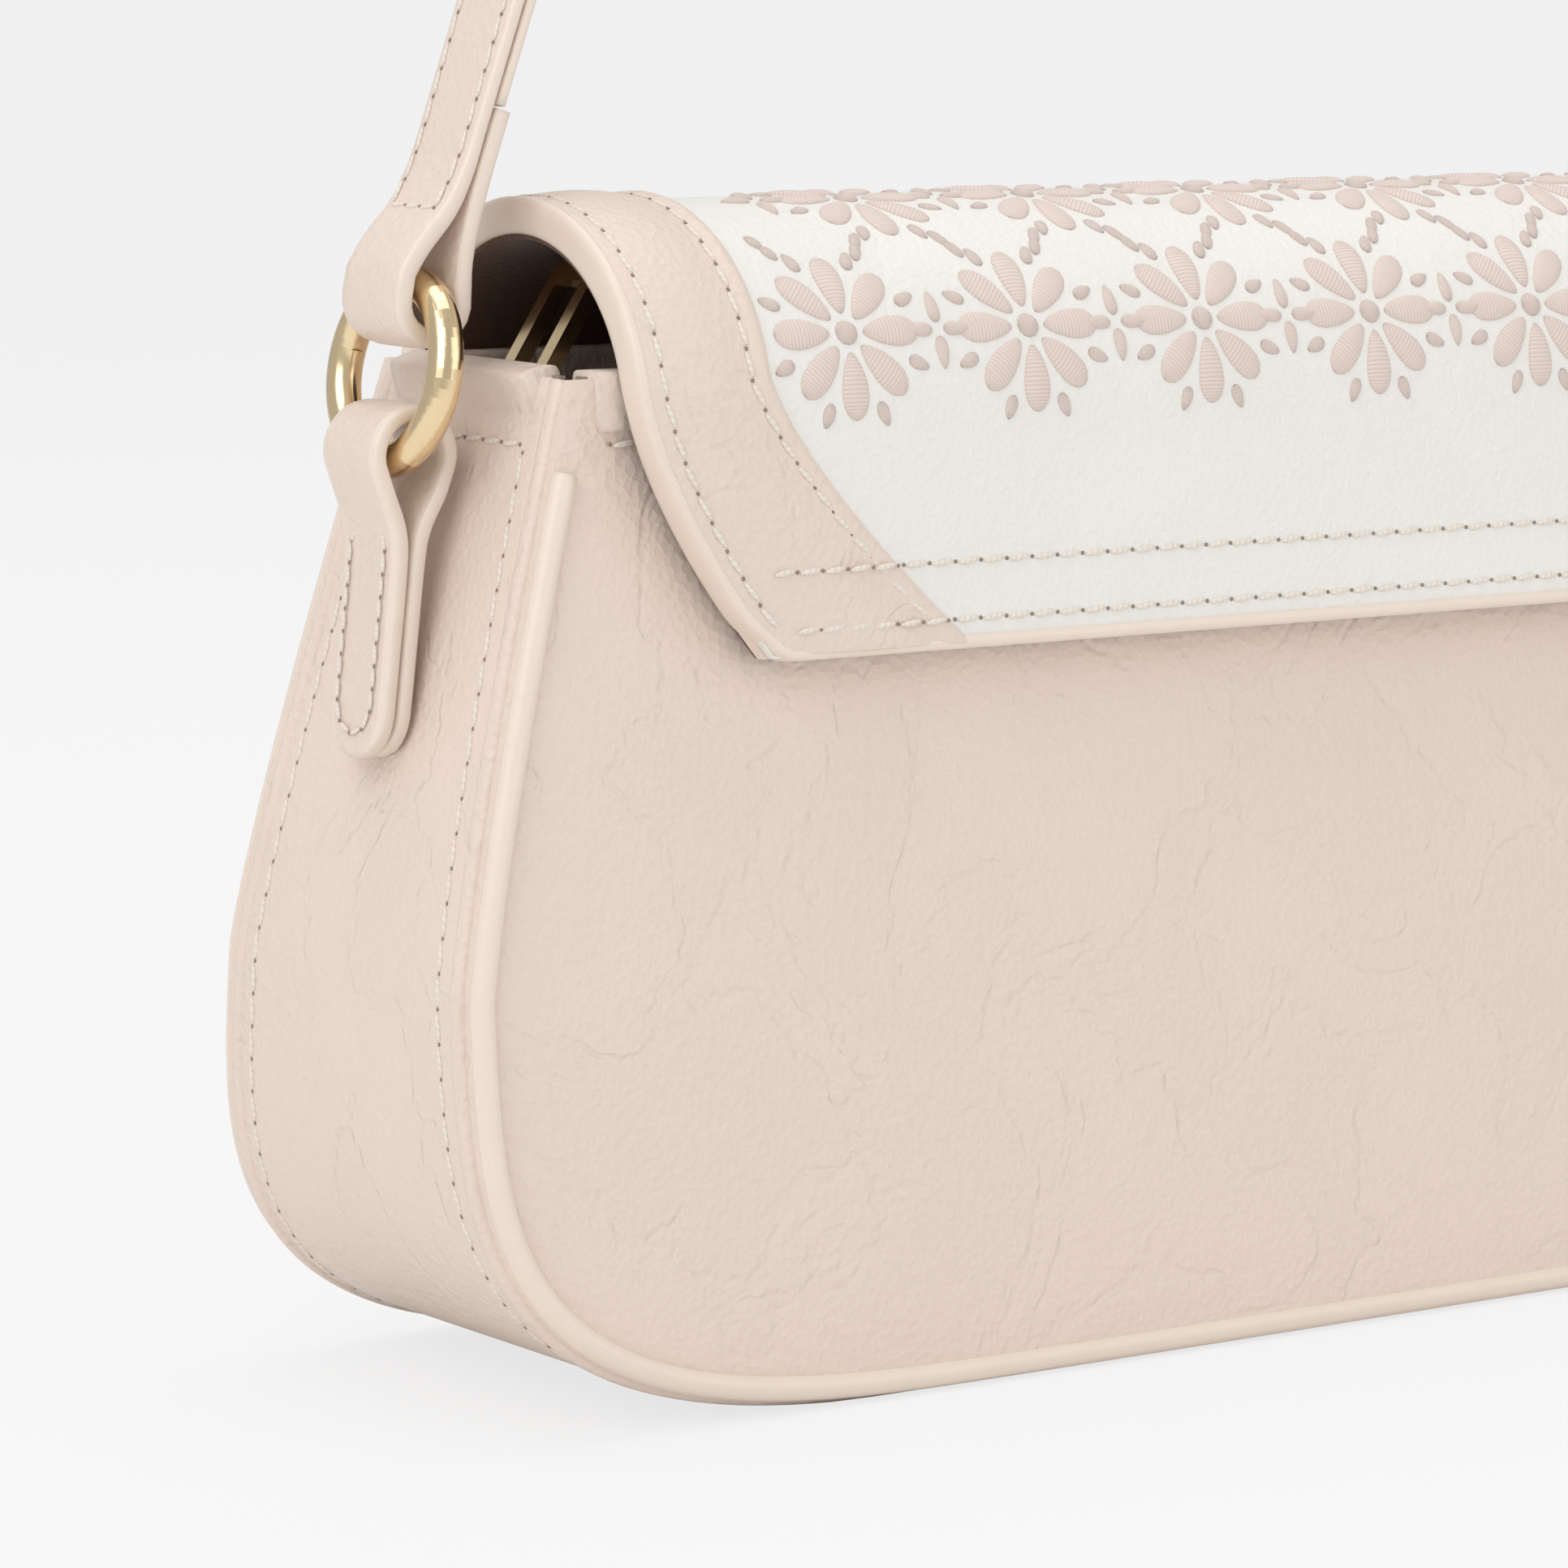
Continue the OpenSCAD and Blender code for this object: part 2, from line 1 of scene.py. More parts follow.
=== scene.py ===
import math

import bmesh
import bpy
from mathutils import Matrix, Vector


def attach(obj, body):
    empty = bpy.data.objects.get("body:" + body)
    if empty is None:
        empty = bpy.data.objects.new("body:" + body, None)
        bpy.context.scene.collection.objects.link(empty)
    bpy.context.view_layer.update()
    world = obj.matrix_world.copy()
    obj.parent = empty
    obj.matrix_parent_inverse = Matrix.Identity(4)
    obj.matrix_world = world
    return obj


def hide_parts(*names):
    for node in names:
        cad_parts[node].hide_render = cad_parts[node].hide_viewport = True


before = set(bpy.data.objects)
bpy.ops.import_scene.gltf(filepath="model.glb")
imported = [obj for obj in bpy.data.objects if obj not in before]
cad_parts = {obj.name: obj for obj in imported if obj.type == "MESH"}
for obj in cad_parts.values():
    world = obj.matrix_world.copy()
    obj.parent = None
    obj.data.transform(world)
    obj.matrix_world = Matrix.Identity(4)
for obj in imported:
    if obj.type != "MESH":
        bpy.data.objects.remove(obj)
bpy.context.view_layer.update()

# %% [markdown]
# This scene dresses a small structured shoulder bag, a baguette bag with a domed flap. The hard metal
# parts and the stiffening boards come from the CAD model and stay as they are. Every piece of leather,
# suede and thread is made again here, because a real leather edge is rounded and a real panel is a
# little puffed, and a CAD solid has neither. All lengths are typed in millimetres, as a leather worker
# would, and one function turns them into Blender's metres.

MM = 0.001

# %% [markdown]
# Materials are built from nodes. Writing maths as nodes by hand is slow to read, so the class below
# wraps one output socket, and Python's own operators add the Math nodes. The reflected operators let a
# plain number stand on the left as well, as in `1 - fac`. Every other node goes through one method.

# %% Shader maths written as Python expressions
class Value:
    def __init__(self, shader, socket):
        self.shader = shader
        self.socket = socket

    def math(self, operation, *others, first=None):
        node = self.shader.tree.nodes.new("ShaderNodeMath")
        node.operation = operation
        row = [self, *others] if first is None else [first, self]
        for place, item in zip(node.inputs, row):
            self.shader.feed(place, item)
        return Value(self.shader, node.outputs[0])

    def __add__(self, other):
        return self.math("ADD", other)

    def __radd__(self, other):
        return self.math("ADD", first=other)

    def __sub__(self, other):
        return self.math("SUBTRACT", other)

    def __rsub__(self, other):
        return self.math("SUBTRACT", first=other)

    def __mul__(self, other):
        return self.math("MULTIPLY", other)

    def __rmul__(self, other):
        return self.math("MULTIPLY", first=other)

    def __truediv__(self, other):
        return self.math("DIVIDE", other)

    def __rtruediv__(self, other):
        return self.math("DIVIDE", first=other)

    def __pow__(self, other):
        return self.math("POWER", other)

    def __neg__(self):
        return self.math("MULTIPLY", -1.0)


class Shader:
    def __init__(self, name, colour, roughness, **constants):
        self.material = bpy.data.materials.new(name)
        self.material.use_nodes = True
        self.material.diffuse_color = (*colour, 1)
        self.tree = self.material.node_tree
        self.bsdf = self.tree.nodes["Principled BSDF"]
        self.bsdf.inputs["Base Color"].default_value = (*colour, 1)
        self.bsdf.inputs["Roughness"].default_value = roughness
        for socket, value in constants.items():
            self.bsdf.inputs[socket.replace("_", " ")].default_value = value

    def feed(self, place, item):
        if isinstance(item, Value):
            self.tree.links.new(item.socket, place)
        elif item is not None:
            place.default_value = item

    def node(self, kind, out=0, settings=None, **inputs):
        """Adds a node. Inputs are named, or i0, i1 and so on where a name is shared by several sockets."""
        made = self.tree.nodes.new("ShaderNode" + kind)
        for name, value in (settings or {}).items():
            setattr(made, name, value)
        for name, item in inputs.items():
            key = int(name[1:]) if name[1:].isdigit() else name.replace("_", " ")
            place = made.inputs[key]
            self.feed(place, item)
        return Value(self, made.outputs[out])

    def mix(self, fac, a, b):
        return self.node("Mix", out=2, settings={"data_type": "RGBA"}, i0=fac, i6=a, i7=b)

    def coords(self):
        return self.node("TexCoord", out="Object")

    def smooth(self, value, low, high):
        return self.node("MapRange", settings={"interpolation_type": "SMOOTHSTEP"}, Value=value,
                         From_Min=low, From_Max=high)

    def out(self, colour=None, roughness=None, height=None, distance=0.0002, strength=1.0):
        if colour is not None:
            self.feed(self.bsdf.inputs["Base Color"], colour)
        if roughness is not None:
            self.feed(self.bsdf.inputs["Roughness"], roughness)
        if height is not None:
            bump = self.node("Bump", Height=height, Distance=distance, Strength=strength)
            self.feed(self.bsdf.inputs["Normal"], bump)
        return self.material


print("shader maths ready")

# %% [markdown]
# Leather is a sheet of collagen with a finished grain side. Its pebble grain is shallow and irregular,
# so a Voronoi pattern rounded off by a power gives the cells, and a little noise breaks them up. Wide,
# faint creases come from folding a noise about its middle. Nothing here follows the camera: the pattern
# sits in each piece's own object space, and stays put when the flap or the strap moves.

# %% Leather, edge paint and suede
def srgb_channel(value):
    return value / 255 / 12.92 if value <= 10 else ((value / 255 + 0.055) / 1.055) ** 2.4


def srgb(red, green, blue):
    return tuple(srgb_channel(value) for value in (red, green, blue))


def shade(colour, factor):
    return (*[min(c * factor, 1.0) for c in colour], 1.0)


def leather(name, colour, roughness=0.42, grain=950.0, depth=0.00022, crease=0.55):
    s = Shader(name, colour, roughness, Specular_IOR_Level=0.42)
    place = s.coords()
    cells = s.node("TexVoronoi", out="Distance", Vector=place, Scale=grain)
    fine = s.node("TexNoise", Vector=place, Scale=grain * 1.7, Detail=3.0)
    soft = s.node("TexNoise", Vector=place, Scale=38.0, Detail=4.0, Roughness=0.55, Distortion=0.6)
    fold = (soft - 0.5).math("ABSOLUTE")
    line = 1 - s.smooth(fold, 0.0, 0.035)
    tone = s.mix(soft, shade(colour, 0.955), shade(colour, 1.035))
    height = cells ** 1.4 * 0.55 + fine * 0.35 - line * crease
    return s.out(tone, soft * 0.12 + (roughness - 0.06), height, distance=depth)


def edge_paint(name, colour):
    s = Shader(name, colour, 0.34, Specular_IOR_Level=0.5)
    wave = s.node("TexNoise", Vector=s.coords(), Scale=160.0, Detail=2.0)
    return s.out(s.mix(wave, shade(colour, 0.97), shade(colour, 1.02)), None, wave, distance=0.00012)


def suede(name, colour):
    s = Shader(name, colour, 0.95, Sheen_Weight=0.25, Specular_IOR_Level=0.15)
    nap = s.node("TexNoise", Vector=s.coords(), Scale=2600.0, Detail=4.0)
    wide = s.node("TexNoise", Vector=s.coords(), Scale=30.0, Detail=3.0)
    tone = s.mix(nap * 0.6 + wide * 0.4, shade(colour, 0.72), shade(colour, 1.3))
    return s.out(tone, None, nap, distance=0.0002)


BEIGE = srgb(231, 214, 201)
EDGE = srgb(236, 221, 207)
WHITE = srgb(238, 236, 230)
BROWN = srgb(98, 70, 54)
mat_beige = leather("leather_beige", BEIGE)
mat_strap = leather("leather_strap", BEIGE, crease=0.25)
mat_white = leather("leather_white", WHITE, roughness=0.46, grain=1200.0, depth=0.00014, crease=0.3)
mat_edge = edge_paint("edge_paint", EDGE)
mat_suede = suede("suede_brown", BROWN)
print("leathers:", mat_beige.name, mat_white.name, mat_edge.name, mat_suede.name)

# %% [markdown]
# The gold is a plated zinc or brass casting, polished by hand, so its roughness wavers a little. Thread
# is twisted, and shows as slanted ridges: a wave across the stitch's own UV map gives them, as bumps and
# as painted shade that darkens the colour in the grooves between the ridges. The raised embroidery is
# satin stitch, many parallel threads laid side by side, which is the same idea with the ridges closer
# together.

# %% Metal, thread and board
def metal(name, colour, roughness):
    s = Shader(name, colour, roughness, Metallic=1.0)
    wear = s.node("TexNoise", Vector=s.coords(), Scale=420.0, Detail=5.0)
    return s.out(None, wear * 0.1 + (roughness - 0.05), wear, distance=0.00002)


def thread(name, colour, ridges, slant, depth, groove_shade=0.9):
    s = Shader(name, colour, 0.5, Specular_IOR_Level=0.35, Sheen_Weight=0.15)
    place = s.node("TexCoord", out="UV")
    across = s.node("SeparateXYZ", Vector=place)
    along = s.node("SeparateXYZ", out=1, Vector=place)
    wave = ((along * ridges + across * slant) * (2 * math.pi)).math("SINE") * 0.5 + 0.5
    # painted shade: the colour darkens in the grooves, where the wave and so the bump are low
    return s.out(s.mix(wave, shade(colour, groove_shade), shade(colour, 1.03)), None, wave, distance=depth)


def plain(name, colour, roughness=0.8):
    s = Shader(name, colour, roughness)
    speck = s.node("TexNoise", Vector=s.coords(), Scale=700.0, Detail=3.0)
    return s.out(s.mix(speck, shade(colour, 0.9), shade(colour, 1.08)), None, speck, distance=0.00005)


GOLD = srgb(236, 213, 172)
THREAD = srgb(236, 226, 215)
SATIN = srgb(231, 214, 205)
mat_gold = metal("gold_champagne", GOLD, 0.2)
# both thread materials darken in their grooves as painted shade, to 0.9 and 0.86 of their colour
mat_thread = thread("thread_saddle", THREAD, 5.0, 1.0, 0.00002)
mat_satin = thread("thread_satin", SATIN, 24.0, 0.0, 0.00005, 0.86)
# painted shade: the needle holes are coloured dark to stand for the shade inside them
mat_hole_shade = plain("needle_hole_shade", srgb(150, 132, 118))
mat_board = plain("board_grey", srgb(150, 140, 128))
mat_steel = metal("magnet_steel", srgb(150, 150, 154), 0.35)
print("small parts:", mat_gold.name, mat_thread.name, mat_satin.name)

# %% [markdown]
# A leather piece is cut flat and then bent into place. The same order is used here: Blender's grid
# operator makes a flat sheet of faces, and a function says where each point of the sheet goes. The flat
# coordinates are kept as the UV map. A sheet gets its thickness from a Solidify modifier and its soft
# cut edge from a Bevel modifier, so both can be changed at any time.

# %% Sheets, sweeps and finished objects
def rows(low, high, count):
    return [low + (high - low) * i / count for i in range(count + 1)]


def grid_mesh(us, vs, place, closed=False):
    bm = bmesh.new()
    uv = bm.loops.layers.uv.new("UVMap")
    n, m = len(us) - 1, len(vs) - 1
    bmesh.ops.create_grid(bm, x_segments=n, y_segments=m, size=0.5)
    where = {v: (round((v.co.x + 0.5) * n), round((v.co.y + 0.5) * m)) for v in bm.verts}
    for face in bm.faces:
        for loop in face.loops:
            i, j = where[loop.vert]
            loop[uv].uv = (us[i], vs[j])
    for v, (i, j) in where.items():
        v.co = Vector(place(us[i], vs[j])) * MM
    if closed:
        bmesh.ops.remove_doubles(bm, verts=bm.verts, dist=1e-6)
    return bm


def facing(bm, centre):
    """Turns all faces to look away from a point in millimetres."""
    middle = Vector(centre) * MM
    turn = sum(f.normal.dot(f.calc_center_median() - middle) * f.calc_area() for f in bm.faces)
    if turn < 0:
        bmesh.ops.reverse_faces(bm, faces=bm.faces)


def piece(name, bm, body, materials, nodes=(), centre=None, thick=0.0, soft=0.0):
    bm.normal_update()
    if centre is not None:
        facing(bm, centre)
    elif not any(e.is_boundary for e in bm.edges):
        bmesh.ops.recalc_face_normals(bm, faces=bm.faces)
    mesh = bpy.data.meshes.new(name)
    for face in bm.faces:
        face.smooth = True
    bm.to_mesh(mesh)
    bm.free()
    obj = bpy.data.objects.new(name, mesh)
    bpy.context.scene.collection.objects.link(obj)
    for material in materials if isinstance(materials, (list, tuple)) else [materials]:
        mesh.materials.append(material)
    if thick:
        shell = obj.modifiers.new("thickness", "SOLIDIFY")
        shell.thickness = thick * MM
        shell.offset = -1
        shell.use_even_offset = True
    if soft:
        edge = obj.modifiers.new("soft edge", "BEVEL")
        edge.width = soft * MM
        edge.segments = 3
        edge.limit_method = "ANGLE"
        edge.angle_limit = math.radians(50)
        edge.harden_normals = False
    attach(obj, body)
    if nodes:
        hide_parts(*nodes)
    return obj


def section(width, height, power=4.0, count=20):
    """Rounded oblong, as points from a superellipse."""
    points = []
    for i in range(count):
        a = 2 * math.pi * (i + 0.5) / count
        c, s = math.cos(a), math.sin(a)
        points.append((width / 2 * math.copysign(abs(c) ** (2 / power), c),
                       height / 2 * math.copysign(abs(s) ** (2 / power), s)))
    return points


def sweep_mesh(frames, shape, edge_from=None):
    """Sweeps a closed section along frames of (point, across, out, width scale, height scale)."""
    loop = shape + shape[:1]
    us = list(range(len(loop)))
    lengths = [0.0]
    for a, b in zip(frames, frames[1:]):
        lengths.append(lengths[-1] + (Vector(b[0]) - Vector(a[0])).length)
    index = {length: k for k, length in enumerate(lengths)}

    def place(u, v):
        point, across, out, wide, high = frames[index[v]]
        a, b = loop[u]
        return Vector(point) + Vector(across) * (a * wide) + Vector(out) * (b * high)

    bm = grid_mesh(us, lengths, place, closed=True)
    bmesh.ops.holes_fill(bm, edges=[e for e in bm.edges if e.is_boundary], sides=0)
    if edge_from is not None:
        uv = bm.loops.layers.uv.active
        for face in bm.faces:
            column = min(int(sum(corner[uv].uv.x for corner in face.loops) / len(face.loops)), len(shape) - 1)
            middle = (loop[column][0] + loop[column + 1][0]) / 2
            if len(face.loops) == 4 and abs(middle) > edge_from:
                face.material_index = 1
    return bm


def spaced(points, step):
    """Resamples a line of points at an even spacing."""
    points = [Vector(p) for p in points]
    lengths = [0.0]
    for a, b in zip(points, points[1:]):
        lengths.append(lengths[-1] + (b - a).length)
    count = max(2, round(lengths[-1] / step))
    out, k = [], 0
    for i in range(count + 1):
        want = lengths[-1] * i / count
        while k < len(points) - 2 and lengths[k + 1] < want:
            k += 1
        span = lengths[k + 1] - lengths[k]
        out.append(points[k].lerp(points[k + 1], (want - lengths[k]) / span if span else 0.0))
    return out


def rounded_path(points, passes=3):
    """Cuts the corners of a line over and over, which turns it into a smooth curve."""
    points = [Vector(p) for p in points]
    for _ in range(passes):
        made = [points[0]]
        for a, b in zip(points, points[1:]):
            made += [a.lerp(b, 0.25), a.lerp(b, 0.75)]
        points = made + [points[-1]]
    return points


def tangents(points):
    last = len(points) - 1
    return [(points[min(i + 1, last)] - points[max(i - 1, 0)]).normalized() for i in range(last + 1)]


print("builders ready")

# %% [markdown]
# The body follows one outline seen from the front: straight sides that belly out, then two broad lower
# corners. The front and back panels lean in towards the mouth. These few formulas are the pattern pieces
# of the bag, and each leather part below is cut from them.

# %% The bag's own outline
TAN, COS, SIN = 0.0889831, 0.996064, 0.088633  # the panels' lean, 5.08 degrees
HALF_DEPTH = 29.5  # half the depth of the bag at the floor
TOP = 118.0  # height of the mouth
HALF_MOUTH, BELLY = 113, 17  # half the mouth's length, and how far the sides belly out beyond it
BELLY_Z = 50  # height of the widest place
CORNER_W, CORNER_POWER = 76, 3.4  # length and squareness of the lower corners
PIPING_TOP = 107.5  # height of the piping's cut ends
WALL = 3.8  # thickness of a wall's leather, board and suede together
SEAM = 3.4  # how far the lining and the gusset's edges lie inside the outline


def side_x(z):
    return HALF_MOUTH + BELLY * (1 - (max(z - BELLY_Z, 0) / (TOP - BELLY_Z)) ** 1.19)


def half_outline():
    points = [Vector((side_x(z), z)) for z in rows(TOP, BELLY_Z, 40)]
    floor_x = HALF_MOUTH + BELLY - CORNER_W
    bend = 2 / CORNER_POWER
    for i in range(1, 241):
        a = math.radians(90 * i / 240)
        x = floor_x + CORNER_W * max(math.cos(a), 0) ** bend
        points.append(Vector((x, BELLY_Z * (1 - math.sin(a) ** bend))))
    return points


def rim(inset, step=2.2, top=TOP):
    """Points from the left end of the mouth round the bottom to the right end, with outward normals."""
    half = half_outline()
    full = [Vector((-p.x, p.y)) for p in half] + [p for p in reversed(half)]
    full = spaced(full, 0.8)
    out = []
    for p, t in zip(full, tangents(full)):
        normal = Vector((t.y, -t.x))
        out.append((p - normal * inset, normal))
    out = [o for o in out if o[0].y <= top]
    keep = max(1, round(step / 0.8))
    inner = out[::keep]
    return inner if inner[-1] is out[-1] else inner + [out[-1]]


def wall(x, z, height, side=-1):
    """Point on the front (side -1) or back (+1) face, raised by height."""
    return Vector((x, side * (HALF_DEPTH - z * TAN + height * COS), z + height * SIN))


def wall_normal(side=-1):
    return Vector((0, side * COS, SIN))


def panel_rows(inset):
    pairs = [(p.x, p.y) for p, n in rim(inset, 2.2) if p.x > 53.0]
    pairs.sort(key=lambda pair: pair[1])
    return pairs


def panel(name, side, nodes, inset=0.4, height=0.0, puff=1.0, thick=1.4, material=None,
          top=TOP, inner=False, soft=0.3):
    pairs = [pair for pair in panel_rows(inset) if pair[1] <= top]
    levels = list(range(len(pairs)))

    def place(u, v):
        x, z = pairs[v]
        share = v / (len(pairs) - 1)
        bump = puff * (1 - abs(u) ** 4) * (1 - abs(2 * share - 1) ** 5)
        return wall(u * x, z, height + bump, side)

    bm = grid_mesh(rows(-1, 1, 56), levels, place)
    centre = (0, 200 * side, 60) if inner else (0, 0, 60)
    return piece(name, bm, "bag", material or mat_beige, nodes, centre, thick, soft)


# %% [markdown]
# The front and back panels are single pieces of leather over a thin board. Their edges meet the piping,
# so they lie flat there, and the middle stands about a millimetre proud, as leather glued over a board
# with a little padding does.

# %% Front and back panels
for side, word in ((-1, "front"), (1, "back")):
    panel(word + "_leather", side, [word + "_panel"])
print("panels made")

# %% [markdown]
# The gusset is one long strip that runs down one end, under the floor and up the other end. Its seams
# with the panels are turned, which leaves a firm ridge on each side, and a round piping follows the
# panel's edge. The piping stops a little under the mouth, where its cut ends show.

# %% Gusset, seam ridges and piping
def gusset_strip(name, nodes, inset, margin, thick, material, inner=False, top=TOP, soft=0.3):
    path = rim(inset, 2.2, top)
    steps = list(range(len(path)))

    def place(t, k):
        p, n = path[k]
        half = HALF_DEPTH - p.y * TAN - margin
        return Vector((p.x, t * half, p.y))

    bm = grid_mesh(rows(-1, 1, 18), steps, place)
    if inner:
        bm.normal_update()
        facing(bm, (0, 0, 60))
        bmesh.ops.reverse_faces(bm, faces=bm.faces)
        return piece(name, bm, "bag", material, nodes, None, thick, soft)
    return piece(name, bm, "bag", material, nodes, (0, 0, 60), thick, soft)


def rim_sweep(name, nodes, side, inset, height, shape, material, top=TOP):
    frames = []
    for p, n in rim(inset, 2.0, top):
        across = Vector((n.x, 0, n.y))
        frames.append((wall(p.x, p.y, height, side), across, wall_normal(side), 1, 1))
    return piece(name, sweep_mesh(frames, shape), "bag", material, nodes)


gusset_strip("gusset_leather", ["gusset"], 0.0, SEAM, 1.4, mat_beige)
for side, word in ((-1, "front"), (1, "back")):
    rim_sweep(word + "_ridge", [word + "_seam_ridge"], side, 1.15, -2.55, section(2.9, 2.7, 2.6, 14),
              mat_beige)
    rim_sweep(word + "_cord_piping", [word + "_piping"], side, 1.9, 0.1, section(3.0, 3.0, 2.0, 14),
              mat_edge, top=PIPING_TOP)
print("gusset and piping made")

# %% [markdown]
# Each raw top edge of the mouth is wrapped in a narrow leather binding. A rounded bar stands for the
# folded strip: only its outside can be seen, and the wall's layers end inside it.

# %% Bindings round the mouth
def wall_binding(name, node, side, out_height):
    low, high = -WALL - 0.9, out_height

    def frame_at(u):
        point = wall(u, 115.4, (low + high) / 2, side)
        return (point, Vector((0, side, 0)), Vector((0, 0, 1)), 1, 1)

    frames = [frame_at(u * 109.4) for u in rows(-1, 1, 60)]
    bm = sweep_mesh(frames, section(high - low, 6.9, 6, 24))
    return piece(name, bm, "bag", mat_beige, [node])


def end_binding(name, node, way):
    def frame_at(y):
        out = Vector((0.958, 0, -0.287 * way))
        return ((way * 112.2, y, 115.4), out, Vector((0.287 * way, 0, 0.958)), 1, 1)

    frames = [frame_at(y) for y in rows(-13.8, 13.8, 14)]
    bm = sweep_mesh(frames, section(4.9, 6.9, 6, 24))
    return piece(name, bm, "bag", mat_beige, [node])


wall_binding("front_binding", "front_mouth_binding", -1, 0.9)
wall_binding("back_binding", "back_mouth_binding", 1, -1.4)
for way, word in ((-1, "left"), (1, "right")):
    end_binding("end_binding_" + word, "gusset_binding_" + word, way)
print("bindings made")

# %% [markdown]
# Inside, every wall is lined with micro-suede. The lining is thin and glued, so it has no puff. A slip
# pocket is sewn to the back lining on three sides.

# %% Suede lining and slip pocket
LINING_TOP = TOP - 0.5
for side, word in ((-1, "front"), (1, "back")):
    panel(word + "_suede", side, [word + "_lining"], inset=SEAM, height=-WALL, puff=0, thick=0.8,
          material=mat_suede, inner=True, top=LINING_TOP, soft=0.2)
gusset_strip("gusset_suede", ["gusset_lining"], 3.0, 3.9, 0.8, mat_suede, inner=True,
             top=LINING_TOP)


def pocket_place(u, v):
    edge = min(1.0, (1 - abs(u)) / 0.06) * min(1.0, v / 0.07)
    return wall(u * 60, 40 + 55 * v, -4.65 - 1.0 * max(edge, 0) ** 0.5, 1)


bm = grid_mesh(rows(-1, 1, 48), rows(0, 1, 24), pocket_place)
piece("pocket_suede", bm, "bag", mat_suede, ["slip_pocket"], (0, 200, 60), 0.8, 0.25)
print("lining and pocket made")

# %% [markdown]
# The flap is a dome over the mouth with a straight front. Its shape is a path in the side view: an arc
# about a centre just behind the middle, then a straight leg. Every flap part is this path at another
# radius, so the layers nest: suede lining, stiffener, white leather, and beige bands at both ends.

# %% The flap's path
DOME_Y, DOME_Z, SKIN_R, LEAN = -0.9467, 112.0, 24.4, 5.0849
ARC = SKIN_R * math.radians(180 - 2 * LEAN)
LEG = 27.92
FLAP_L = ARC + LEG


def flap_point(x, v, height=0.0, radius=SKIN_R):
    """v is the distance from the flap's root along its outer skin."""
    a = math.radians(LEAN) + min(v, ARC) / SKIN_R
    r = radius + height
    point = Vector((x, DOME_Y + r * math.cos(a), DOME_Z + r * math.sin(a)))
    if v > ARC:
        point += Vector((0, -SIN, -COS)) * (v - ARC)
    return point


def flap_out(v):
    a = math.radians(LEAN) + min(v, ARC) / SKIN_R
    return Vector((0, math.cos(a), math.sin(a)))


def drop(v):
    z = flap_point(0, v).z
    return max(0.0, min(1.0, (118 - z) / 31.65)) if v > ARC / 2 else 0.0


def flap_half(v):
    return 107.5 - 16.5 * drop(v) ** 1.6


def band_inner(v):
    return 89.5 - 27 * drop(v) ** 1.35


FLAP_ROWS = rows(0.3, ARC, 40) + rows(ARC, FLAP_L, 18)[1:]


def flap_shell(name, nodes, radius, inset, thick, material, puff=0.0, inner=False):
    def place(u, v):
        bump = puff * (1 - u ** 8)
        return flap_point(u * (flap_half(v) - inset), v, bump, radius)

    bm = grid_mesh(rows(-1, 1, 60), FLAP_ROWS, place)
    bm.normal_update()
    facing(bm, (0, 0, 98))
    if inner:
        bmesh.ops.reverse_faces(bm, faces=bm.faces)
    return piece(name, bm, "flap", material, nodes, None, thick, 0.3)


flap_shell("flap_white", ["flap_panel"], 24.4, 0.3, 1.4, mat_white, puff=0.15)
flap_shell("flap_suede", ["flap_lining"], 20.4, 0.3, 1.2, mat_suede, inner=True)
print("flap skins made")

# %% [markdown]
# The edge of the flap is cut through all its layers, sanded round and painted in several coats, which is
# why it reads as one thick, slightly lighter line. A sweep round the flap's rim makes it.

# %% Painted edge of the flap
def flap_edge_frames():
    flat = [(-flap_half(v) + 0.5, v) for v in FLAP_ROWS]
    low = FLAP_L - 0.4
    corner = flap_half(FLAP_L) - 0.5
    flat = [p for p in flat if p[1] < low - 3] + [(-corner, low - 1.2), (-corner + 1.2, low)]
    full = flat + [(x, low) for x in rows(-corner + 4, corner - 4, 60)] + [(-x, v) for x, v in reversed(flat)]
    line = spaced(rounded_path([Vector((x, v, 0)) for x, v in full], 2), 1.6)
    frames = []
    for p, t in zip(line, tangents(line)):
        out = flap_out(p.y)
        along = Vector((0, -out.z, out.y)) if p.y < ARC else Vector((0, -SIN, -COS))
        across = Vector((1, 0, 0)) * -t.y + along * t.x
        frames.append((flap_point(p.x, p.y, -1.35), across, out, 1, 1))
    return frames


bm = sweep_mesh(flap_edge_frames(), section(1.7, 4.3, 3.2, 16))
piece("flap_edge_paint", bm, "flap", mat_edge, ())
print("flap edge made")

# %% [markdown]
# A beige band lies over the white leather at each end and widens towards the front corner. It is skived
# thin where it is turned under, so its inner edge is soft, and it puffs a little between its two rows of
# stitches. A low ridge runs inside the inner row.

# %% Side bands of the flap
def band_profile(w):
    """Height over the white leather across the band, from its inner edge (0) to the flap's edge (1)."""
    lip = min(1.0, w / 0.05) ** 0.5
    belly = math.sin(math.pi * min(max((w - 0.22) / 0.64, 0), 1)) ** 0.8
    ridge = math.exp(-((w - 0.09) / 0.05) ** 2)
    return lip * 0.75 + 0.55 * belly + 0.35 * ridge - 0.25 * max(0, (w - 0.93) / 0.07) ** 2


def band(name, node, way):
    across = rows(0, 0.2, 12) + rows(0.2, 1, 22)[1:]

    def place(w, v):
        x = band_inner(v) + (flap_half(v) - 0.4 - band_inner(v)) * w
        return flap_point(way * x, v, band_profile(w) - 0.02)

    bm = grid_mesh(across, FLAP_ROWS[:-1] + [FLAP_L - 0.3], place)
    return piece(name, bm, "flap", mat_beige, [node], (0, 0, 98), 0.7, 0.2)


band("band_left", "flap_band_left", -1)
band("band_right", "flap_band_right", 1)


def yoke_place(u, v):
    return wall(u * 107.2, 96.2 + 17.4 * v, 3.7 * min(1, (1 - abs(u)) * 40) ** 0.4, 1)


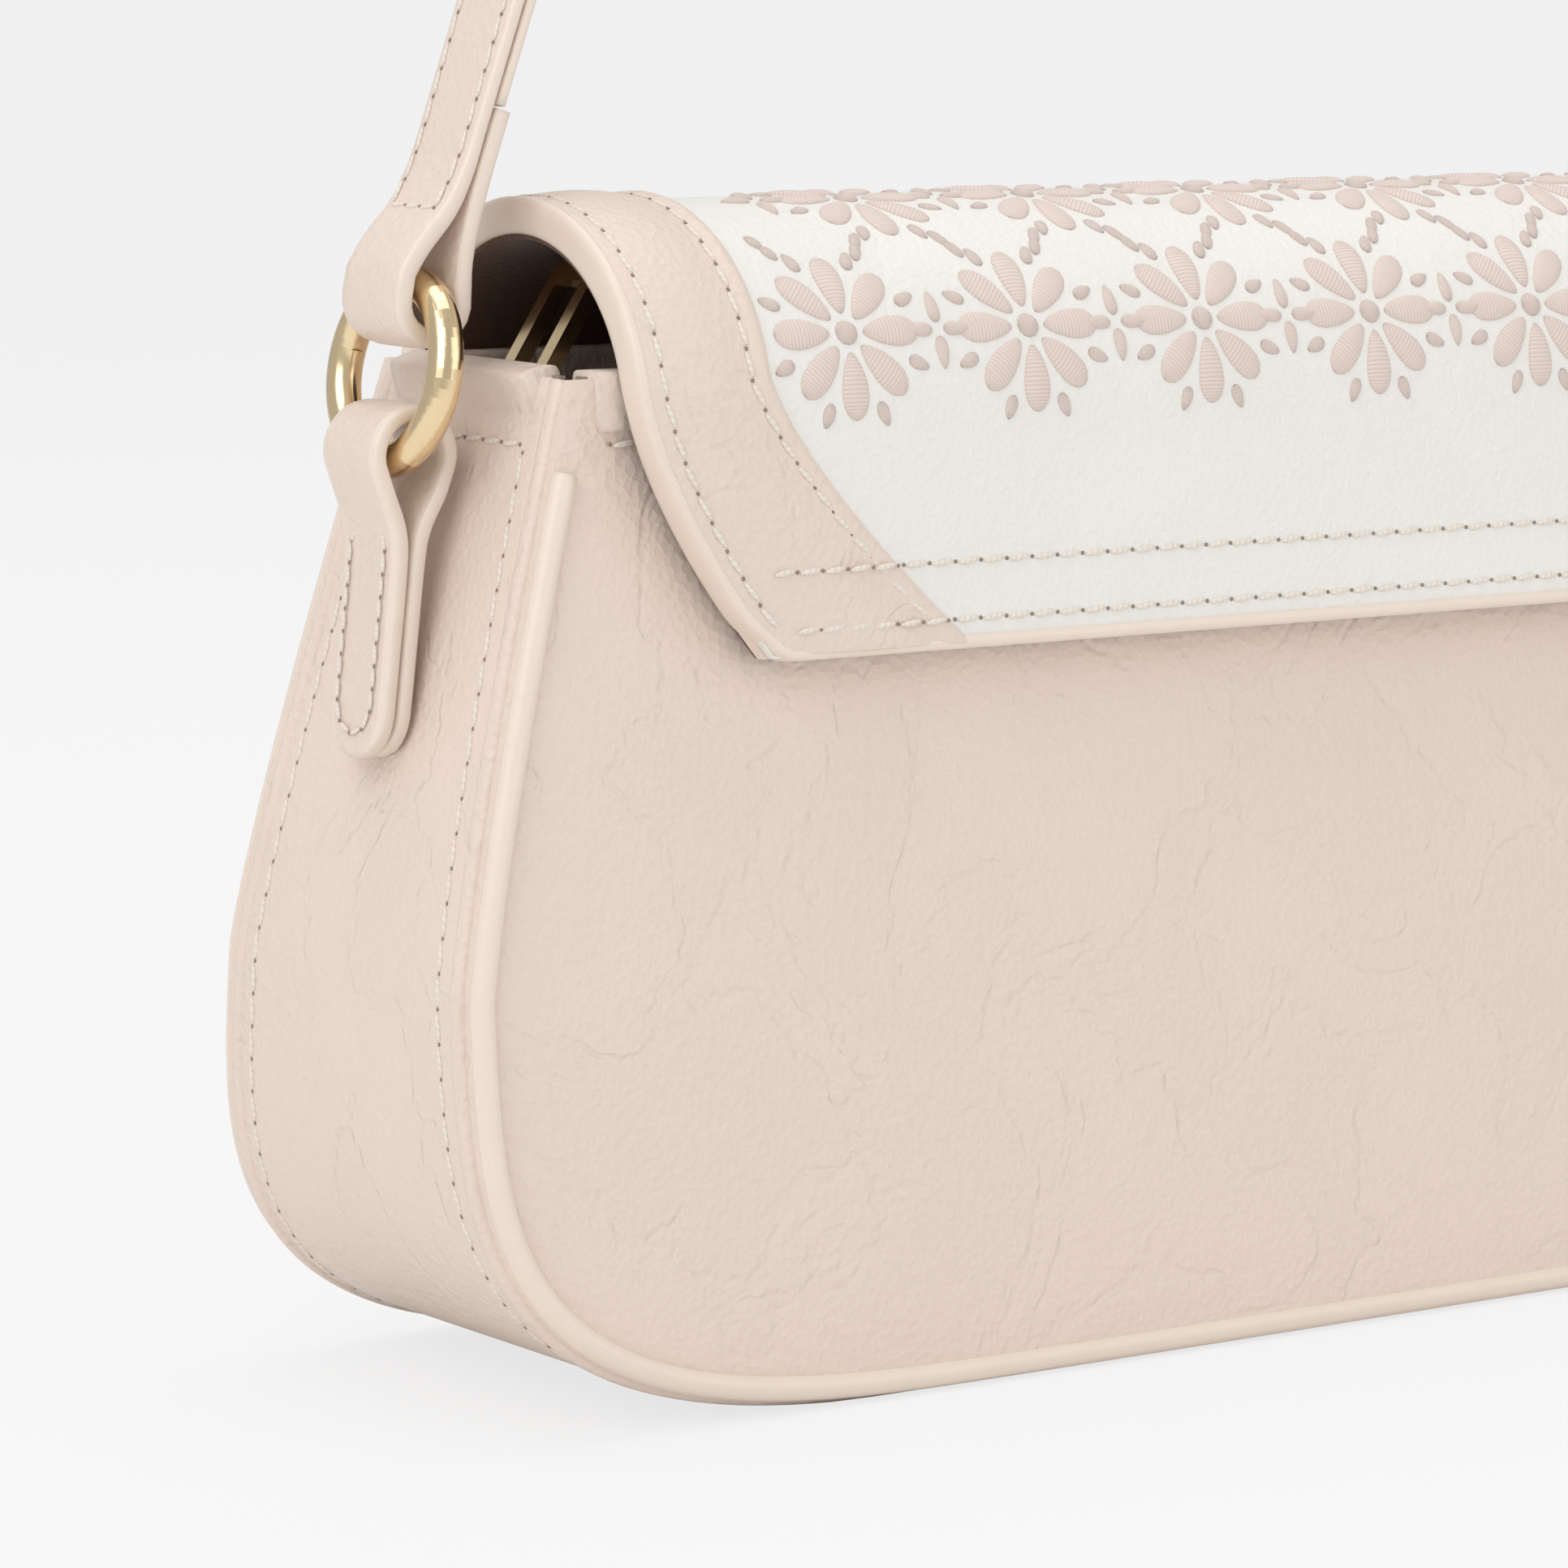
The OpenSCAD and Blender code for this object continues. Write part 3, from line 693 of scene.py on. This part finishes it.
bm = grid_mesh(rows(-1, 1, 60), rows(0, 1, 12), yoke_place)
piece("yoke_leather", bm, "bag", mat_beige, ["flap_yoke"], (0, 0, 60), 3.5, 0.9)
print("bands and yoke made")

# %% [markdown]
# Each end tab is one strip folded round the ring, glued to itself and sewn. The strip is swept along the
# line it takes in the side view. Its rounded foot comes from making the section narrower near the end.

# %% End tabs
def flat_frames(line, step, widths=None, heights=None):
    """Frames for a strip whose line lies in the XZ plane and whose width runs along Y."""
    line = spaced(line, step)
    count = len(line) - 1
    frames = []
    for k, (p, t) in enumerate(zip(line, tangents(line))):
        out = Vector((t.z, 0, -t.x))
        wide = widths(k * step, (count - k) * step) if widths else 1
        high = heights(k / count) if heights else 1
        frames.append((p, Vector((0, 1, 0)), out, wide, high))
    return frames


def circle_line(cx, cz, r, start, end, count=20):
    return [Vector((cx + r * math.cos(math.radians(a)), 0, cz + r * math.sin(math.radians(a))))
            for a in rows(start, end, count)]


def flip(points, way):
    return [Vector((p.x * way, p.y, p.z)) for p in points]


def round_foot(before, after):
    reach = min(before, after)
    return math.sqrt(max(0.02, 1 - max(0, 1 - reach / 5.5) ** 2))


TAB_LINE = rounded_path([Vector((x, 0, z)) for x, z in (
    (128.15, 74.7), (126.9, 86), (125.75, 97), (125.8, 100.5), (127.4, 104.5))], 2)
TAB_LINE += circle_line(124.05, 108.9, 4.7, -12, 192, 30)
TAB_LINE += rounded_path([Vector((x, 0, z)) for x, z in (
    (120.7, 104.5), (123.0, 100.5), (123.6, 97), (124.75, 86), (126.0, 74.7))], 2)


def tab(name, node, way):
    frames = flat_frames(flip(TAB_LINE, way), 1.0, round_foot)
    bm = sweep_mesh(frames, section(11.2, 2.25, 4.5, 24), edge_from=4.6)
    return piece(name, bm, "bag", [mat_strap, mat_edge], [node])


tab("tab_leather_left", "tab_left", -1)
tab("tab_leather_right", "tab_right", 1)
print("tabs made")

# %% [markdown]
# The shoulder strap is one leather strip that is folded round a ring at each end, with a second strip
# glued under it between the folds. Both edges are painted. The line below is the right half in the side
# view, from the folded inner end, round the ring and up to the top bend, and it is mirrored for the left.

# %% Shoulder strap
STRAP_LEAN = math.radians(19.3)
BEND_Z, BEND_R = 221.1, 85.0


def strap_face(z, depth):
    return Vector((116 - (z - 147) * math.tan(STRAP_LEAN) - depth / math.cos(STRAP_LEAN), 0, z))


def strap_half(depth, low):
    leg = [strap_face(z, depth) for z in rows(low, 249.2, 40)]
    return leg + circle_line(0, BEND_Z, BEND_R - depth, 19.6, 90, 40)


fold = rounded_path([strap_face(147, 3.05), strap_face(139, 3.05), strap_face(134.5, 3.3),
                     Vector((117.75, 0, 130.5)), Vector((117.95, 0, 127.5))], 2)
fold += circle_line(121.9, 125.9, 3.95, 172, 368, 30)
fold += rounded_path([Vector((125.3, 0, 129.3)), Vector((123.2, 0, 132.4)), Vector((119.6, 0, 136.0)),
                      strap_face(140.5, 0.9), strap_face(144, 0.9)], 2)
right = fold + strap_half(0.9, 146)
STRAP_LINE = right[:-1] + flip(reversed(right), -1)


def strap_thickness(p, k, count):
    near = min(k, count - k)
    full = 2.6 if p.z < 134 else 2.6 - 0.8 * min(1, (p.z - 134) / 10)
    if near < 20 and p.z > 128:
        full = 2.4
    return full / 1.8


def strap_frames(line, step, thickness=None):
    line = spaced(line, step)
    last = len(line) - 1
    frames = []
    for k, (p, t) in enumerate(zip(line, tangents(line))):
        out = Vector((t.z, 0, -t.x))
        high = thickness(p, k * step, last * step) if thickness else 1
        frames.append((p, Vector((0, 1, 0)), out, 1, high))
    return frames


bm = sweep_mesh(strap_frames(STRAP_LINE, 1.25, strap_thickness), section(12.0, 1.85, 5, 24), edge_from=5.3)
piece("strap_leather", bm, "strap", [mat_strap, mat_edge], ["strap_face"])
under = strap_half(2.5, 147.6)
bm = sweep_mesh(strap_frames(under[:-1] + flip(reversed(under), -1), 2.0), section(12.0, 1.5, 5, 24),
                edge_from=5.3)
piece("strap_under", bm, "strap", [mat_strap, mat_edge], ["strap_lining"])
print("strap made")

# %% [markdown]
# Saddle stitches are short, slightly slanted grains of thread that dive into needle holes. Each row is
# one object: a squashed sphere for every stitch, and a small dark one at every hole, which is painted
# shade standing for the hollow of the hole. The row's line carries its own outward direction, so the
# same function sews on any surface.

# %% Stitching
def ball(segments, rings, index=0):
    """One small sphere as a mesh that can be stamped many times."""
    bm = bmesh.new()
    bm.loops.layers.uv.new("UVMap")
    bmesh.ops.create_uvsphere(bm, u_segments=segments, v_segments=rings, radius=0.5, calc_uvs=True)
    for face in bm.faces:
        face.material_index = index
    mesh = bpy.data.meshes.new("ball")
    bm.to_mesh(mesh)
    bm.free()
    return mesh


def stamp(bm, mesh, matrix=None, place=None):
    """Adds a copy of a mesh, moved by a matrix or point by point by a function."""
    copy = mesh.copy()
    if matrix is not None:
        copy.transform(matrix)
    else:
        for vert in copy.vertices:
            vert.co = place(vert.co)
    bm.from_mesh(copy)
    bpy.data.meshes.remove(copy)


GRAIN, HOLE_SHADE, PETAL, SEED = ball(8, 6), ball(8, 4, 1), ball(14, 10), ball(8, 6)
ON_SIDE = Matrix.Rotation(math.radians(90), 4, "Y")


def sew(name, line, body, pitch=3.8, long=0.82, width=0.72, high=0.5, lift=0.05, slant=7.0):
    """line holds (point, outward) pairs in millimetres, close together."""
    lengths = [0.0]
    for (a, _), (b, _) in zip(line, line[1:]):
        lengths.append(lengths[-1] + (b - a).length)
    count = max(1, round(lengths[-1] / pitch))
    pitch = lengths[-1] / count

    def at(distance):
        k = 0
        while k < len(line) - 2 and lengths[k + 1] < distance:
            k += 1
        span = lengths[k + 1] - lengths[k] or 1.0
        f = (distance - lengths[k]) / span
        return line[k][0].lerp(line[k + 1][0], f), line[k][1].lerp(line[k + 1][1], f).normalized()

    bm = bmesh.new()
    bm.loops.layers.uv.new("UVMap")

    def grain(place, along, out, size, mesh):
        side = out.cross(along).normalized()
        turn = Matrix((along, side, out)).transposed().to_4x4()
        matrix = Matrix.Translation(place * MM) @ turn @ Matrix.Diagonal((*[s * MM for s in size], 1))
        stamp(bm, mesh, matrix @ ON_SIDE)

    for k in range(count):
        a, out_a = at(pitch * k)
        b, out_b = at(pitch * (k + 1))
        out = (out_a + out_b).normalized()
        along = (b - a).normalized()
        along = (Matrix.Rotation(math.radians(slant), 3, out) @ along).normalized()
        along = (along - out * along.dot(out)).normalized()
        grain((a + b) / 2 + out * lift, along, out, (pitch * long, width, high), GRAIN)
        # a small dark sphere at the stitch's end is painted shade for the hollow of the needle hole
        grain(a + out_a * 0.02, along, out, (0.55, 0.5, 0.16), HOLE_SHADE)
    return piece(name, bm, body, [mat_thread, mat_hole_shade])


def rim_row(name, side, margin):
    line = []
    for p, n in rim(0.0, 0.8, 110.0):
        y = side * (HALF_DEPTH - p.y * TAN - margin)
        line.append((Vector((p.x, y, p.y)), Vector((n.x, 0, n.y))))
    return sew(name, line, "bag", 3.9)


rim_row("stitches_gusset_front", -1, 5.9)
rim_row("stitches_gusset_back", 1, 5.9)
row = [(wall(x, 110.6, 0.4, -1), wall_normal(-1)) for x in rows(-108, 108, 120)]
sew("stitches_mouth_front", row, "bag", 3.9)
for way, word in ((-1, "left"), (1, "right")):
    row = [(Vector((way * (side_x(110.4) + 0.05), y, 110.4)), Vector((0.95 * way, 0, 0.29)))
           for y in rows(-13, 13, 30)]
    sew("stitches_end_" + word, row, "bag", 3.7)
print("body stitches made")


def on_flap(x, v, height):
    return flap_point(x, v, height), flap_out(v)


fine = rows(1.5, FLAP_L - 3.2, 120)
LOW_ROW, HIGH_ROW = FLAP_L - 3.0, FLAP_L - 9.6
for way, word in ((-1, "left"), (1, "right")):
    outer = [on_flap(way * (flap_half(v) - 2.9), v, 0.78) for v in fine]
    sew("stitches_band_outer_" + word, outer, "flap", 3.7)
    inner = [on_flap(way * (band_inner(v) + 3.2), v, 0.8) for v in fine]
    sew("stitches_band_inner_" + word, inner, "flap", 3.7)
    across = [on_flap(way * x, HIGH_ROW, 1.3) for x in rows(band_inner(HIGH_ROW) + 1.0, 91.5, 24)]
    sew("stitches_box_top_" + word, across, "flap", 3.7)
    across = [on_flap(way * x, LOW_ROW, 1.1) for x in rows(band_inner(LOW_ROW) + 1.0, 88.5, 24)]
    sew("stitches_box_low_" + word, across, "flap", 3.7)
for v, word in ((LOW_ROW, "low"), (HIGH_ROW, "high")):
    reach = band_inner(v) - 0.6
    sew("stitches_strip_" + word, [on_flap(x, v, 0.2) for x in rows(-reach, reach, 160)], "flap", 3.7)
print("flap stitches made")

# %% [markdown]
# The tabs carry one closed row in the shape of a rounded oblong, and the strap one row along each edge,
# joined by a short closing row over the ring.

# %% Stitches on the tabs and the strap
def tab_row(way):
    flat = [(-3.5, 88), (-3.5, 100.4), (3.5, 100.4), (3.5, 81)]
    for angle in rows(0, -180, 12):
        flat.append((3.5 * math.cos(math.radians(angle)), 81 + 3.5 * math.sin(math.radians(angle))))
    flat += [(-3.5, 88)]
    line = spaced([Vector((y, z, 0)) for y, z in flat], 0.8)
    out = Vector((math.cos(math.radians(6)) * way, 0, math.sin(math.radians(6))))
    return [(Vector((way * (126.92 + (99 - p.y) * math.tan(math.radians(6))), p.x, p.y)), out) for p in line]


sew("stitches_tab_left", tab_row(-1), "bag", 2.6, width=0.6, high=0.45)
sew("stitches_tab_right", tab_row(1), "bag", 2.6, width=0.6, high=0.45)
outer_half = [p for p in fold[-20:] if p.z > 135.4 and p.x > 112] + strap_half(0.9, 146)
outer_line = spaced(outer_half[:-1] + flip(reversed(outer_half), -1), 1.0)
STRAP_OUT = []
for p, t in zip(outer_line, tangents(outer_line)):
    out = Vector((t.z, 0, -t.x))
    thick = 2.6 - 0.8 * max(0, min(1, (p.z - 134) / 10))
    STRAP_OUT.append((p + out * (thick / 2 + 0.03), out))
for y, word in ((-4.4, "front"), (4.4, "back")):
    sew("stitches_strap_" + word, [(p + Vector((0, y, 0)), out) for p, out in STRAP_OUT], "strap", 3.3,
        width=0.62, high=0.45)
for (p, out), word in ((STRAP_OUT[0], "right"), (STRAP_OUT[-1], "left")):
    row = [(p + Vector((0, y, 0)), out) for y in rows(-4.4, 4.4, 8)]
    sew("stitches_close_" + word, row, "strap", 2.9, width=0.62, high=0.45)
print("tab and strap stitches made")

# %% [markdown]
# The white leather carries satin-stitch embroidery in a pinkish beige. A traditional pattern is used:
# eight-petalled rosettes in staggered rows, with small four-leaved sprigs between them and a chain of
# seeds that joins them into a lattice. Each petal is one padded patch of parallel threads. A sphere is
# squashed, tapered and laid on the dome, and its UV map runs along the petal, so the thread wave in the
# material lies across it.

# %% Satin-stitch embroidery
def satin(bm, x, v, angle, length, width, high=0.55, taper=0.25):
    c, s = math.cos(angle), math.sin(angle)

    def place(co):
        a = co.z
        b = co.x * (1 - taper * 2 * a)
        px, pv = a * length * c - b * width * s, a * length * s + b * width * c
        return flap_point(x + px, v + pv, 0.14 + co.y * 2 * high) * MM

    stamp(bm, PETAL if length > 3 else SEED, place=place)


def inside_white(x, v, margin):
    return 6 < v < ARC + 8 and abs(x) < band_inner(v) - margin


def rosette(bm, x, v, radius, petals=8):
    for k in range(petals):
        angle = 2 * math.pi * k / petals
        reach = radius * 0.62
        px, pv = x + reach * math.cos(angle), v + reach * math.sin(angle)
        if inside_white(px, pv, 3):
            satin(bm, px, pv, angle, radius * 0.78, radius * 0.36, taper=-0.3)
            turn = angle + math.pi / petals  # a small seed stands between two petals
            tip = radius * 1.02
            satin(bm, x + tip * math.cos(turn), v + tip * math.sin(turn), turn, radius * 0.3,
                  radius * 0.17, high=0.4)
    satin(bm, x, v, 0, radius * 0.3, radius * 0.3, high=0.7, taper=0)


def sprig(bm, x, v, size):
    for k in range(4):
        angle = math.pi / 2 * k
        px, pv = x + size * 0.6 * math.cos(angle), v + size * 0.6 * math.sin(angle)
        if inside_white(px, pv, 2):
            satin(bm, px, pv, angle, size * 0.85, size * 0.36, taper=0.35)


PITCH, ROW = 26.0, 23.5
bm = bmesh.new()
bm.loops.layers.uv.new("UVMap")
rosettes = 0
for r, v in enumerate((17.0, 40.5, 64.0)):
    shift = PITCH / 2 if r % 2 else 0.0
    for k in range(-4, 5):
        x = k * PITCH + shift
        if not inside_white(x, v, 9):
            continue
        rosette(bm, x, v, 10.0)
        rosettes += 1
        sprig(bm, x + PITCH / 2, v, 4.6)
        if k == -3:
            sprig(bm, x - PITCH / 2, v, 4.6)
        for way in (-1, 1):
            for side in (-1, 1):
                slope = math.atan2(way * ROW, side * PITCH / 2)
                for f in (0.46, 0.54):
                    sx, sv = x + side * PITCH / 2 * f * 1.02, v + way * ROW * f * 1.02
                    if inside_white(sx, sv, 2) and (way < 0 or v < 60):
                        satin(bm, sx, sv, slope, 2.6, 1.5, high=0.4, taper=0)
embroidery = piece("embroidery", bm, "flap", mat_satin)
print("embroidery made:", rosettes, "rosettes,", len(embroidery.data.vertices), "vertices")

# %% [markdown]
# The inner tabs hold a second pair of metal rings under the flap. Each is a narrow suede strip folded
# over the ring's lower bar.

# %% Inner tabs
def inner_tab(way):
    foot = [Vector((x, 0, z)) for x, z in ((112.0, 99), (111.3, 105), (110.6, 110.5), (109.9, 112.2))]
    line = flip(rounded_path(foot, 2) + circle_line(107.6, 114, 1.9, -25, 215, 16), way)
    word = "left" if way < 0 else "right"
    bm = sweep_mesh(flat_frames(line, 0.7), section(4.0, 0.75, 5, 16))
    piece("inner_tab_suede_" + word, bm, "bag", mat_suede, ["inner_tab_" + word])


inner_tab(-1)
inner_tab(1)
print("inner tabs made")

# %% [markdown]
# What is left of the CAD model is hard: rings, gates, pins, inner rings, magnets and boards. They keep
# their exact shapes and only get a finish. The floor board is covered in the lining's suede, and the cut
# edges of the flap's stiffener and the back board are painted like the leather's.

# %% Finishes of the CAD parts
FINISH = {"o_ring": mat_gold, "gate": mat_gold, "inner_ring": mat_gold, "base_board": mat_suede,
          "front_magnet": mat_steel, "flap_magnet": mat_steel, "flap_core": mat_edge,
          "back_board": mat_edge}
for name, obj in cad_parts.items():
    if obj.hide_render:
        continue
    chosen = next((m for key, m in FINISH.items() if name.startswith(key)), mat_board)
    obj.data.materials.clear()
    obj.data.materials.append(chosen)
    if chosen is mat_gold:
        for polygon in obj.data.polygons:
            polygon.use_smooth = True
        obj.data.set_sharp_from_angle(angle=math.radians(32))
    print(" ", name, "->", chosen.name)

# %% [markdown]
# The set is a pale sweep: a floor that curves up into a wall, so that no horizon shows. Broad soft
# lights stand to the left, the right and above. The paper glows a little for the camera only, which keeps
# it near white without putting more light on the bag.

# %% Floor and lights
BEND = 1.2  # radius of the paper's bend, in metres
bm = bmesh.new()
bmesh.ops.create_grid(bm, x_segments=1, y_segments=40, size=4.0)
for v in bm.verts:
    s = v.co.y + 1.0
    if s > 0:
        a = min(s / BEND, math.pi / 2)
        v.co.y = -1.0 + BEND * math.sin(a)
        v.co.z = BEND * (1 - math.cos(a)) + max(0.0, s - BEND * math.pi / 2)
mesh = bpy.data.meshes.new("sweep_floor")
bm.to_mesh(mesh)
bm.free()
floor = bpy.data.objects.new("sweep_floor", mesh)
bpy.context.scene.collection.objects.link(floor)
floor.rotation_euler = (0, 0, math.radians(-36))
floor.location = Matrix.Rotation(math.radians(-36), 3, "Z") @ Vector((0, 2.6, 0))
for polygon in mesh.polygons:
    polygon.use_smooth = True
set_paper = Shader("set_paper", (0.90, 0.90, 0.90), 0.9, Specular_IOR_Level=0.0)
seen = set_paper.node("LightPath", out="Is Camera Ray")
glow = set_paper.node("Emission", Color=(0.93, 0.93, 0.93, 1), Strength=1.0)
mixed = set_paper.node("MixShader", i0=seen * 0.82, i1=Value(set_paper, set_paper.bsdf.outputs[0]), i2=glow)
set_paper.tree.links.new(mixed.socket, set_paper.tree.nodes["Material Output"].inputs["Surface"])
mesh.materials.append(set_paper.material)


def light(name, place, aim, size, power, colour=(1, 1, 1)):
    data = bpy.data.lights.new(name, "AREA")
    data.shape = "RECTANGLE"
    data.size, data.size_y = size
    data.energy = power
    data.color = colour
    obj = bpy.data.objects.new(name, data)
    bpy.context.scene.collection.objects.link(obj)
    obj.location = place
    obj.rotation_euler = (Vector(aim) - Vector(place)).to_track_quat("-Z", "Y").to_euler()
    return obj


light("key", (-1.3, -0.5, 1.0), (0, 0, 0.1), (1.2, 1.2), 9.0)
light("fill", (0.8, -1.4, 0.7), (0, 0, 0.1), (1.4, 1.2), 5.0)
light("top", (0.0, 0.2, 1.5), (0, 0, 0.1), (1.6, 1.2), 9.0)
world = bpy.data.worlds.new("studio")
bpy.context.scene.world = world
world.use_nodes = True
back = world.node_tree.nodes["Background"]
back.inputs["Color"].default_value = (1, 1, 1, 1)
back.inputs["Strength"].default_value = 0.55
bpy.context.scene.view_settings.view_transform = "Standard"
print("set built")

# %% [markdown]
# The camera is a long lens, 150 mm on a full frame, close enough to crop the bag as the picture does. Its
# turn is built from three directions at right angles: forward, right and up, with a slight roll.

# %% Camera
azimuth, elevation, roll = math.radians(36.1), math.radians(7.97), math.radians(0.6)
forward = Vector((math.sin(azimuth) * math.cos(elevation), math.cos(azimuth) * math.cos(elevation),
                  -math.sin(elevation)))
right_way = Vector((math.cos(azimuth), -math.sin(azimuth), 0))
up = right_way.cross(forward)
cam_x = right_way * math.cos(roll) + up * math.sin(roll)
cam_y = up * math.cos(roll) - right_way * math.sin(roll)
data = bpy.data.cameras.new("camera")
data.lens, data.sensor_width = 150.4, 36.0
data.clip_start, data.clip_end = 0.05, 30
camera = bpy.data.objects.new("camera", data)
bpy.context.scene.collection.objects.link(camera)
turned = Matrix((cam_x, cam_y, -forward)).transposed().to_4x4()
camera.matrix_world = Matrix.Translation((-0.5186, -0.6165, 0.1742)) @ turned
bpy.context.scene.camera = camera
print("camera at", [round(c, 4) for c in camera.location])
